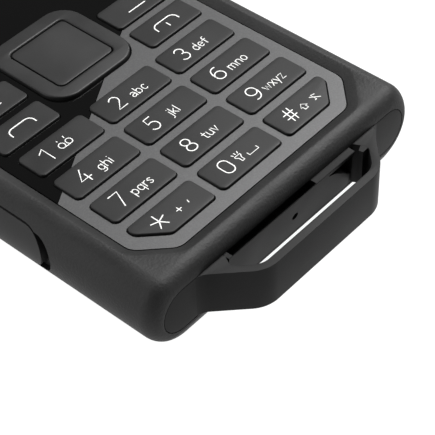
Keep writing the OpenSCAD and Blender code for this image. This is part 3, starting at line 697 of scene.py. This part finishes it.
exit_hole = [(7.8, LIP_Z), (9.9, LIP_Z - 1.0), (14.4, LIP_Z - 4.7),
             (PASSAGE_RIGHT, LIP_Z - 5.5), (PASSAGE_RIGHT, LIP_Z)]
carve(plate_end, prism(exit_hole, END_Y - 3, PASSAGE_IN, "y"))
carve(plate_end, drill(MIC_X, MIC_Z, MIC_R, -71, -64, "y", 24))
finish_mesh(plate_end, nylon_end, "phone")

# %% The loop
def mirrored(right_side):
    return [(-x, y) for x, y in reversed(right_side)] + right_side

LOOP_REACH, LOOP_BAR, LOOP_ROOT = 7.1, 1.45, END_Y + 1.0

def loop_outline():
    tip = END_Y - LOOP_REACH
    outer = mirrored([(13.7, tip), (20.8, END_Y), (24.2, END_Y + 0.15), (24.2, LOOP_ROOT)])
    inner = mirrored([(13.15, tip + LOOP_BAR), (16.5, END_Y - 2.3), (15.3, END_Y),
                      (15.3, LOOP_ROOT)])
    outer = round_corners(outer, [0, 0, 3.6, 5.8, 5.8, 3.6, 0, 0], 10)
    inner = round_corners(inner, [0, 0.6, 1.2, 3.6, 3.6, 1.2, 0.6, 0], 8)
    return outer + list(reversed(inner))

loop = plate_mesh("lanyard_loop", [loop_outline()], LOOP_LOW, LOOP_TOP, 0.08)
tooth = [(16.9, -68.35), (14.8, -69.25), (14.95, -70.0), (16.9, -69.95)]
carve(loop, prism(tooth, LOOP_LOW, LOOP_TOP - 0.02), "UNION")
finish_mesh(loop, nylon_end, "phone")
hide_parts("end_cap")

# %% [markdown]
# ## Keys
# Each key is a polycarbonate cap with softly rounded edges that stands 0.4 mm above the
# plate. The two lowest outer keys follow the cut corners of the plate. A foot under the
# plate, wider than the opening, keeps each key in; it is a plain slab because it never
# shows.

# %% Number keys
COL, ROW, ROW0_Y = 15.6, 7.72, -57.5
KEY_W, KEY_H, KEY_TOP, KEY_R = 13.9, 5.9, 14.1, 0.9
KEY_CUT, KEY_CUT_R = 4.1, 1.6
CAP_LOW, FOOT_LOW, FOOT_TOP, FOOT_GROW = 12.1, 12.0, 12.7, 0.5
NUMBER_KEYS = {"key_star": (-1, 0), "key_0": (0, 0), "key_hash": (1, 0),
               "key_7": (-1, 1), "key_8": (0, 1), "key_9": (1, 1),
               "key_4": (-1, 2), "key_5": (0, 2), "key_6": (1, 2),
               "key_1": (-1, 3), "key_2": (0, 3), "key_3": (1, 3)}

def key_middle(name):
    col, row = NUMBER_KEYS[name]
    return col * COL, ROW0_Y + row * ROW

def key_outline(name, grow=0.0):
    col, row = NUMBER_KEYS[name]
    x, y = key_middle(name)
    w, h = KEY_W / 2 + grow, KEY_H / 2 + grow
    if row > 0 or col == 0:
        return box_outline(x, y, 2 * w, 2 * h, KEY_R + grow)
    pts = [(-w, h), (-w, -h + KEY_CUT), (-w + KEY_CUT, -h), (w, -h), (w, h)]
    pts = [(x + px, y + py) for px, py in pts]
    radii = [KEY_R, KEY_CUT_R, KEY_CUT_R, KEY_R, KEY_R]
    if col > 0:
        pts = [(2 * x - px, py) for px, py in reversed(pts)]
        radii.reverse()
    return round_corners(pts, radii, 6)

def make_key(name, outline, foot):
    cap = plate_mesh(name + "_cap", [outline], CAP_LOW, KEY_TOP, 0.2, "z", 4)
    carve(cap, prism(foot, FOOT_LOW, FOOT_TOP), "UNION")
    finish_mesh(cap, key_plastic, name + "_body")
    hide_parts(name)

for name in NUMBER_KEYS:
    make_key(name, key_outline(name), key_outline(name, FOOT_GROW))

# %% Call, end and soft keys
CALL_X, CALL_Y, SOFT_Y = 16.85, -26.55, -19.0
CALL_W, CALL_H, SOFT_H, CALL_R = 12.3, 5.8, 6.0, 0.8
CALL_KEYS = {"call_key": (-CALL_X, CALL_Y, CALL_H), "end_key": (CALL_X, CALL_Y, CALL_H),
             "soft_key_left": (-CALL_X, SOFT_Y, SOFT_H),
             "soft_key_right": (CALL_X, SOFT_Y, SOFT_H)}
for name, (x, y, h) in CALL_KEYS.items():
    make_key(name, box_outline(x, y, CALL_W, h, CALL_R),
             box_outline(x, y, CALL_W + 0.9, h + 0.9, CALL_R))
print("keys made:", len(NUMBER_KEYS) + len(CALL_KEYS))

# %% [markdown]
# ## Plate and window
# The painted plate and the black window are cut from the same eight-sided outline and
# meet along one slanted line, so the line runs on under the keys without a step. The
# openings leave a thin dark gap round every key.

# %% Cut the plate and the window
RING_Y, RING_W, RING_R = -18.75, 18.5, 4.4
SLANT_Y, SLANT_K, SLANT_GAP, KEY_GAP = -42.9, 0.58, 0.1, 0.15
EARPIECE_Y, EARPIECE_W, EARPIECE_H = 61.2, 13.0, 1.8
# From below the plate to above it
THROUGH = (12, 15)

def face_part(name, keep_below):
    part = prism(well_outline(-0.05, OPEN_R - 0.05), FACE_LOW, FACE_TOP)
    part.name = name
    line = [(x, SLANT_Y + SLANT_K * (x + OPEN_HALF)) for x in (-WIDE, WIDE)]
    if keep_below:
        carve(part, prism(line + [(WIDE, LONG), (-WIDE, LONG)], *THROUGH))
    else:
        (x0, y0), (x1, y1) = line
        carve(part, prism([(x1, y1 + SLANT_GAP), (x0, y0 + SLANT_GAP),
                           (-WIDE, -LONG), (WIDE, -LONG)], *THROUGH))
    holes = [key_outline(key, KEY_GAP) for key in NUMBER_KEYS]
    holes += [box_outline(x, y, CALL_W + 2 * KEY_GAP, h + 2 * KEY_GAP, KEY_R)
              for x, y, h in CALL_KEYS.values()]
    holes.append(box_outline(0, RING_Y, RING_W + 0.5, RING_W + 0.5, RING_R + 0.2, 12))
    if not keep_below:
        holes.append(box_outline(0, EARPIECE_Y, EARPIECE_W, EARPIECE_H, 0.88))
    for hole in holes:
        carve(part, prism(hole, *THROUGH))
    return part

plate = face_part("keypad_plate_sheet", True)
finish_mesh(plate, plate_paint, "phone")
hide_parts("keypad_plate")
window = face_part("front_window_sheet", False)
finish_mesh(window, window_black, "phone")
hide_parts("front_window")
print("plate and window faces:", len(plate.data.polygons), len(window.data.polygons))

# %% [markdown]
# ## Direction ring
# The ring rocks on its gimbal and the square key in it goes straight down. The ring has a
# larger edge rounding than the keys, which the thumb feels as a frame.

# %% Ring and centre key
RING_LOW, RING_TOP, RING_EDGE = 12.3, 14.4, 0.32
CENTRE_W, CENTRE_TOP, CENTRE_EDGE = 12.2, 14.3, 0.16

ring = plate_mesh("nav_ring_cap", [box_outline(0, RING_Y, RING_W, RING_W, RING_R, 12),
                                   box_outline(0, RING_Y, CENTRE_W + 0.5, CENTRE_W + 0.5, 1.2)],
                  RING_LOW, RING_TOP, RING_EDGE, "z", 4)
finish_mesh(ring, ring_plastic, "ring")
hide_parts("nav_ring")
centre = plate_mesh("nav_centre_cap", [box_outline(0, RING_Y, CENTRE_W, CENTRE_W, 1.0)],
                    12.0, CENTRE_TOP, CENTRE_EDGE, "z", 4)
finish_mesh(centre, ring_plastic, "centre")
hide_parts("nav_centre")

# %% [markdown]
# ## Legends
# The figures are drawn as strokes, the way a plotter pen would, because a rounded pen
# line is what such legends are. Each stroke becomes a fine tube with round ends, pressed
# flat into a film of ink a few hundredths of a millimetre high.

# %% Pen strokes
def arc(cx, cy, rx, ry, start, stop, steps=14):
    out = []
    for k in range(steps + 1):
        t = math.radians(start + (stop - start) * k / steps)
        out.append((cx + rx * math.cos(t), cy + ry * math.sin(t)))
    return out

def soft(points, steps=5):
    ends = [points[0]] + list(points) + [points[-1]]
    out = []
    for a, b, c, d in zip(ends, ends[1:], ends[2:], ends[3:]):
        for k in range(steps):
            t = k / steps
            out.append(tuple(
                0.5 * (2 * q + (r - p) * t + (2 * p - 5 * q + 4 * r - s) * t * t
                       + (3 * q - p - 3 * r + s) * t ** 3)
                for p, q, r, s in zip(a, b, c, d)))
    out.append(points[-1])
    return out

# Figures on a grid one unit high
FIGURES = {
    "0": [arc(0.31, 0.69, 0.31, 0.31, 0, 180) + arc(0.31, 0.31, 0.31, 0.31, 180, 360)
          + [(0.62, 0.69)]],
    "1": [[(0.0, 0.78), (0.36, 1.0), (0.36, 0.0)]],
    "2": [arc(0.29, 0.71, 0.27, 0.29, 150, -35) + [(0.02, 0.0), (0.6, 0.0)]],
    "3": [arc(0.27, 0.745, 0.26, 0.255, 150, -85) + arc(0.27, 0.27, 0.3, 0.27, 85, -150)],
    "4": [[(0.5, 1.0), (0.0, 0.27), (0.68, 0.27)], [(0.48, 0.58), (0.48, 0.0)]],
    "5": [[(0.56, 1.0), (0.12, 1.0), (0.07, 0.56)] + arc(0.27, 0.31, 0.3, 0.31, 118, -150)],
    "6": [arc(0.31, 0.31, 0.31, 0.31, 180, 540, 22),
          soft([(0.0, 0.31), (0.02, 0.6), (0.14, 0.86), (0.34, 0.98), (0.54, 0.97)])],
    "7": [[(0.0, 1.0), (0.6, 1.0), (0.2, 0.0)]],
    "8": [arc(0.3, 0.755, 0.25, 0.245, 0, 360, 20), arc(0.3, 0.26, 0.3, 0.26, 0, 360, 22)],
    "9": [arc(0.31, 0.69, 0.31, 0.31, 0, 360, 22),
          soft([(0.62, 0.69), (0.6, 0.4), (0.48, 0.14), (0.28, 0.02), (0.08, 0.03)])],
    "*": [[(0.45, 0.5), (0.45 + 0.46 * math.cos(math.radians(a)),
                         0.5 + 0.5 * math.sin(math.radians(a)))]
          for a in (90, 18, 162, -54, -126)],
    "#": [[(0.22, 0.02), (0.36, 0.98)], [(0.5, 0.02), (0.64, 0.98)],
          [(0.06, 0.66), (0.76, 0.66)], [(0.02, 0.32), (0.72, 0.32)]],
}

# %% Small letters on a grid whose x-height is one unit
LETTERS = {
    "a": (0.84, [soft([(0.1, 0.86), (0.4, 1.0), (0.7, 0.84), (0.76, 0.55), (0.76, 0.0)]),
                 soft([(0.76, 0.56), (0.36, 0.55), (0.07, 0.28), (0.34, 0.0), (0.76, 0.26)])]),
    "b": (0.84, [[(0.06, 1.5), (0.06, 0.0)], arc(0.42, 0.5, 0.36, 0.5, 0, 360, 18)]),
    "c": (0.72, [arc(0.42, 0.5, 0.37, 0.5, 48, 312)]),
    "d": (0.84, [[(0.78, 1.5), (0.78, 0.0)], arc(0.42, 0.5, 0.36, 0.5, 0, 360, 18)]),
    "e": (0.82, [[(0.06, 0.52), (0.78, 0.52)] + arc(0.42, 0.52, 0.36, 0.48, 0, 312)]),
    "f": (0.5, [soft([(0.6, 1.5), (0.34, 1.44), (0.26, 1.1), (0.26, 0.0)]),
                [(0.02, 0.96), (0.55, 0.96)]]),
    "g": (0.84, [arc(0.42, 0.5, 0.36, 0.5, 0, 360, 18),
                 soft([(0.78, 1.0), (0.78, 0.0), (0.68, -0.34), (0.4, -0.45), (0.1, -0.36)])]),
    "h": (0.84, [[(0.06, 1.5), (0.06, 0.0)],
                 soft([(0.06, 0.62), (0.26, 0.95), (0.56, 0.98), (0.76, 0.7), (0.76, 0.0)])]),
    "i": (0.2, [[(0.1, 1.0), (0.1, 0.0)], [(0.1, 1.4), (0.1, 1.44)]]),
    "j": (0.34, [soft([(0.26, 1.0), (0.26, 0.0), (0.2, -0.34), (-0.02, -0.44)]),
                 [(0.26, 1.4), (0.26, 1.44)]]),
    "k": (0.72, [[(0.06, 1.5), (0.06, 0.0)], [(0.66, 1.0), (0.08, 0.42)],
                 [(0.28, 0.6), (0.72, 0.0)]]),
    "l": (0.2, [[(0.1, 1.5), (0.1, 0.0)]]),
    "m": (1.3, [[(0.06, 1.0), (0.06, 0.0)],
                soft([(0.06, 0.66), (0.24, 0.96), (0.46, 0.96), (0.62, 0.7), (0.62, 0.0)]),
                soft([(0.62, 0.66), (0.8, 0.96), (1.02, 0.96), (1.2, 0.7), (1.2, 0.0)])]),
    "n": (0.82, [[(0.06, 1.0), (0.06, 0.0)],
                 soft([(0.06, 0.62), (0.26, 0.95), (0.56, 0.98), (0.76, 0.7), (0.76, 0.0)])]),
    "o": (0.86, [arc(0.43, 0.5, 0.38, 0.5, 0, 360, 18)]),
    "p": (0.84, [[(0.06, 1.0), (0.06, -0.45)], arc(0.42, 0.5, 0.36, 0.5, 0, 360, 18)]),
    "q": (0.84, [[(0.78, 1.0), (0.78, -0.45)], arc(0.42, 0.5, 0.36, 0.5, 0, 360, 18)]),
    "r": (0.5, [[(0.06, 1.0), (0.06, 0.0)],
                soft([(0.06, 0.56), (0.22, 0.92), (0.54, 1.0)])]),
    "s": (0.66, [soft([(0.62, 0.86), (0.36, 1.0), (0.08, 0.8), (0.34, 0.53), (0.62, 0.26),
                       (0.34, 0.0), (0.04, 0.12)])]),
    "t": (0.56, [soft([(0.24, 1.36), (0.24, 0.6), (0.26, 0.12), (0.56, 0.02)]),
                 [(0.0, 0.98), (0.56, 0.98)]]),
    "u": (0.82, [soft([(0.06, 1.0), (0.06, 0.36), (0.24, 0.02), (0.56, 0.06), (0.76, 0.4)]),
                 [(0.76, 1.0), (0.76, 0.0)]]),
    "v": (0.74, [[(0.02, 1.0), (0.37, 0.0), (0.72, 1.0)]]),
    "w": (1.16, [[(0.02, 1.0), (0.3, 0.0), (0.58, 0.9), (0.86, 0.0), (1.14, 1.0)]]),
    "x": (0.7, [[(0.02, 1.0), (0.68, 0.0)], [(0.68, 1.0), (0.02, 0.0)]]),
    "y": (0.74, [[(0.02, 1.0), (0.37, 0.06)], [(0.72, 1.0), (0.2, -0.45)]]),
    "z": (0.72, [[(0.05, 1.0), (0.68, 1.0), (0.04, 0.0), (0.7, 0.0)]]),
}

def moved(strokes, x, y, size=1.0):
    return [[(x + px * size, y + py * size) for px, py in stroke] for stroke in strokes]

LETTER_GAP = 0.22

def word_strokes(word, x, y, size):
    out = []
    for letter in word:
        width, strokes = LETTERS[letter]
        out += moved(strokes, x, y, size)
        x += (width + LETTER_GAP) * size
    return out

# %% Ink
INK_RISE = 0.14

def ink_strokes(name, jobs, body):
    curve = bpy.data.curves.new(name, "CURVE")
    curve.dimensions = "3D"
    curve.bevel_depth = 1.0
    curve.bevel_resolution = 1
    curve.use_fill_caps = True
    for strokes, pen in jobs:
        for stroke in strokes:
            start, stop = Vector(stroke[0]), Vector(stroke[-1])
            first = (start - Vector(stroke[1])).normalized() * pen
            last = (stop - Vector(stroke[-2])).normalized() * pen
            # The tube narrows over its last pen width, so the line ends round
            path = [(start + first, 0.3), (start + first * 0.7, 0.75)]
            path += [(Vector(p), 1.0) for p in stroke]
            path += [(stop + last * 0.7, 0.75), (stop + last, 0.3)]
            spline = curve.splines.new("POLY")
            spline.points.add(len(path) - 1)
            for point, (co, thick) in zip(spline.points, path):
                point.co = (co.x, co.y, 0, 1)
                point.radius = pen * thick
    drawn = add_object(name, curve)
    mesh = settled_mesh(drawn)
    for vert in mesh.vertices:
        vert.co = Vector((vert.co.x, vert.co.y, KEY_TOP + vert.co.z * INK_RISE)) * MM
    bpy.data.objects.remove(drawn)
    return finish_mesh(add_object(name, mesh), ink_white, body, 60)

# %% Words and symbols
# Figure, word, and where the word starts, from the middle of its key
WORDS = {"key_2": ("2", "abc", -0.35), "key_3": ("3", "def", -0.9), "key_4": ("4", "ghi", -0.15),
         "key_5": ("5", "jkl", 0.25), "key_6": ("6", "mno", -0.85), "key_7": ("7", "pqrs", -0.75),
         "key_8": ("8", "tuv", -0.15), "key_9": ("9", "wxyz", -1.15), "key_1": ("1", "", 0),
         "key_0": ("0", "", 0), "key_star": ("*", "", 0), "key_hash": ("#", "", 0)}

# Symbols in millimetres from the middle of their key: a voicemail sign; plus and
# apostrophe; a torch with its rays and a space bar; a shift arrow and a silent bell
SYMBOLS = {
    "key_1": [arc(-0.15, -0.25, 0.56, 0.62, 0, 360, 18), arc(1.35, -0.25, 0.56, 0.62, 0, 360, 18),
              [(-0.15, -0.87), (1.35, -0.87)], [(-0.1, 0.95), (-0.1, 1.1)],
              [(1.3, 0.8), (1.4, 1.25)]],
    "key_star": [[(0.7, -0.45), (1.7, -0.45)], [(1.2, -0.95), (1.2, 0.05)],
                 [(3.42, -0.1), (3.3, -0.55)]],
    "key_0": [[(-0.35, -0.95), (-0.35, -0.2), (-0.7, 0.2), (-0.7, 0.45), (0.5, 0.45), (0.5, 0.2),
               (0.15, -0.2), (0.15, -0.95), (-0.35, -0.95)],
              [(-0.1, 0.8), (-0.1, 1.15)], [(-0.6, 0.8), (-0.75, 1.1)], [(0.4, 0.8), (0.55, 1.1)],
              [(1.35, -0.35), (1.35, -0.95), (3.45, -0.95), (3.45, -0.35)]],
    "key_hash": [[(-0.65, -0.95), (-0.65, -0.35), (-1.05, -0.35), (-0.3, 0.4), (0.45, -0.35),
                  (0.05, -0.35), (0.05, -0.95), (-0.65, -0.95)],
                 [(2.05, -0.75), (2.35, -0.75), (2.35, 0.5), (3.0, 0.3)],
                 [(1.85, 0.35), (3.2, -0.85)]],
}

# %% Print the number keys
FIGURE_H, FIGURE_LEFT, HASH_LEFT, FIGURE_RISE = 3.05, 3.95, 4.45, 0.1
LETTER_H, LETTER_DROP = 1.18, 1.2
FIGURE_PEN, LETTER_PEN, SYMBOL_PEN, CALL_PEN = 0.1, 0.075, 0.08, 0.11

for name, (figure, word, start) in WORDS.items():
    x, y = key_middle(name)
    left = HASH_LEFT if figure == "#" else FIGURE_LEFT
    jobs = [(moved(FIGURES[figure], x - left, y - FIGURE_H / 2 + FIGURE_RISE, FIGURE_H),
             FIGURE_PEN),
            (word_strokes(word, x + start, y - LETTER_DROP, LETTER_H), LETTER_PEN),
            (moved(SYMBOLS.get(name, []), x, y), SYMBOL_PEN)]
    ink_strokes("legend_" + name, jobs, name + "_body")
print("legends printed:", len(WORDS))

# %% Legends of the call, end and soft keys
def handset(x, y):
    return [[(x - 2.5, y - 0.75)] + arc(x - 1.35, y - 0.2, 1.15, 1.05, 180, 90, 8)
            + arc(x + 1.35, y - 0.2, 1.15, 1.05, 90, 0, 8) + [(x + 2.5, y - 0.75)]]

hang_up_mark = [(CALL_X, CALL_Y - 0.2), (CALL_X, CALL_Y - 1.1)]
CALL_LEGENDS = {
    "call_key": handset(-CALL_X + 0.1, CALL_Y),
    "end_key": handset(CALL_X, CALL_Y) + [hang_up_mark],
    "soft_key_left": [[(-CALL_X - 1.9, SOFT_Y - 0.9), (-CALL_X + 1.9, SOFT_Y - 0.9)]],
    "soft_key_right": [[(CALL_X - 1.9, SOFT_Y - 0.9), (CALL_X + 1.9, SOFT_Y - 0.9)]],
}
for name, strokes in CALL_LEGENDS.items():
    ink_strokes("legend_" + name, [(strokes, CALL_PEN)], name + "_body")

# %% [markdown]
# ## Finishes for the pieces that keep their solid shape
# The remaining pieces are already right in shape, so they only change material. The
# table below is read once, like a paint shop's order sheet.

# %% Paint shop
FINISHES = {
    rubber_small: ["port_flap", "volume_up_key", "volume_down_key", "talk_side_key"],
    nylon: ["battery_door", "antenna_mast", "antenna_tip", "receiver", "loudspeaker",
            "camera_module"],
    seal_rubber: ["door_seal", "antenna_seal"],
    silicone: ["keypad_membrane"],
    film: ["dome_sheet"],
    board_green: ["main_board"],
    ceramic: ["patch_antenna"],
    battery_wrap: ["battery", "display_module"],
    can_metal: ["shield_can", "charge_socket", "sim_holder", "nav_pivot",
                "vibration_motor", "microphone"],
    mesh_metal: ["earpiece_mesh"],
    screw_metal: ["coin_screw_left", "coin_screw_right", "housing_screws"],
    brass: ["battery_contacts", "antenna_sleeve"],
    camera_glass: ["camera_lens"],
    torch_glass: ["torch_lens"],
    flash_glass: ["flash_lens"],
}
painted = 0
for material, names in FINISHES.items():
    for name in names:
        solid = nodes[name]
        solid.data.materials.clear()
        solid.data.materials.append(material)
        painted += 1
print("solid pieces painted:", painted)

# %% [markdown]
# ## The studio
# A plain white light table, the kind used for catalogue pictures: a sheet of opal acrylic
# that glows gently, so it stays white even in the phone's own shadow. One strong soft
# light hangs high on the right, and two weaker ones fill in from the far end and the
# left. Big lights give soft edges, and the glossy window stays black because nothing
# bright lies in its mirror direction.

# %% Table
TABLE_GAP, TABLE_HALF_M, FIBRE_MM = 0.2, 25.0, 3.0

def studio_table():
    bm = bmesh.new()
    bmesh.ops.create_grid(bm, x_segments=2, y_segments=2, size=TABLE_HALF_M)
    table = object_from(bm, "studio_table")
    table.location = (0, 0, -TABLE_GAP * MM)
    mat, tree, place = start_finish("opal_acrylic")
    fibre = noise(tree, place, FIBRE_MM, 2.0)
    surface(tree, {"Roughness": 0.9, "Emission Strength": 1.0,
                   "Emission Color": hex_colour("#ffffff")},
            {"Base Color": blend(tree, "#464646", "#4c4c4c", fibre)})
    table.data.materials.append(mat)

studio_table()

# %% Lights
# Name, place and width in metres, and power in watts; all of them aim at the origin
LIGHTS = [("overhead", (0.60, -0.02, 0.84), 0.6, 25.0),
          ("far_fill", (-0.3, 0.9, 0.8), 0.6, 5.0),
          ("left_fill", (-0.85, 0.35, 0.3), 0.5, 4.0)]
AIR_STRENGTH = 0.12

for name, place, width, power in LIGHTS:
    lamp = bpy.data.lights.new(name, "AREA")
    lamp.shape = "SQUARE"
    lamp.size = width
    lamp.energy = power
    holder = add_object(name, lamp)
    holder.location = place
    holder.rotation_mode = "QUATERNION"
    holder.rotation_quaternion = (-Vector(place)).to_track_quat("-Z", "Y")

world = bpy.data.worlds.new("studio_air")
world.use_nodes = True
air = world.node_tree.nodes["Background"].inputs
air["Color"].default_value = hex_colour("#ffffff")
air["Strength"].default_value = AIR_STRENGTH
bpy.context.scene.world = world
bpy.context.scene.view_settings.view_transform = "Standard"

# %% [markdown]
# ## The camera
# A long lens from the lower left, 46 degrees above the table, looks along the keypad
# diagonally. The two small shifts centre the same part of the phone without turning it.

# %% Camera
CAMERA_PLACE = (-0.13533, -0.17803, 0.18691)
CAMERA_TURN = (44.358, 1.524, -48.796)

camera = bpy.data.cameras.new("portrait_camera")
camera.sensor_width = 36.0
camera.lens = 134.5
camera.shift_x, camera.shift_y = -0.0051, -0.0092
camera.clip_start, camera.clip_end = 0.01, 60.0
eye = add_object("portrait_camera", camera)
eye.location = CAMERA_PLACE
eye.rotation_euler = [math.radians(angle) for angle in CAMERA_TURN]
bpy.context.scene.camera = eye

# %% The last line
bpy.context.view_layer.update()
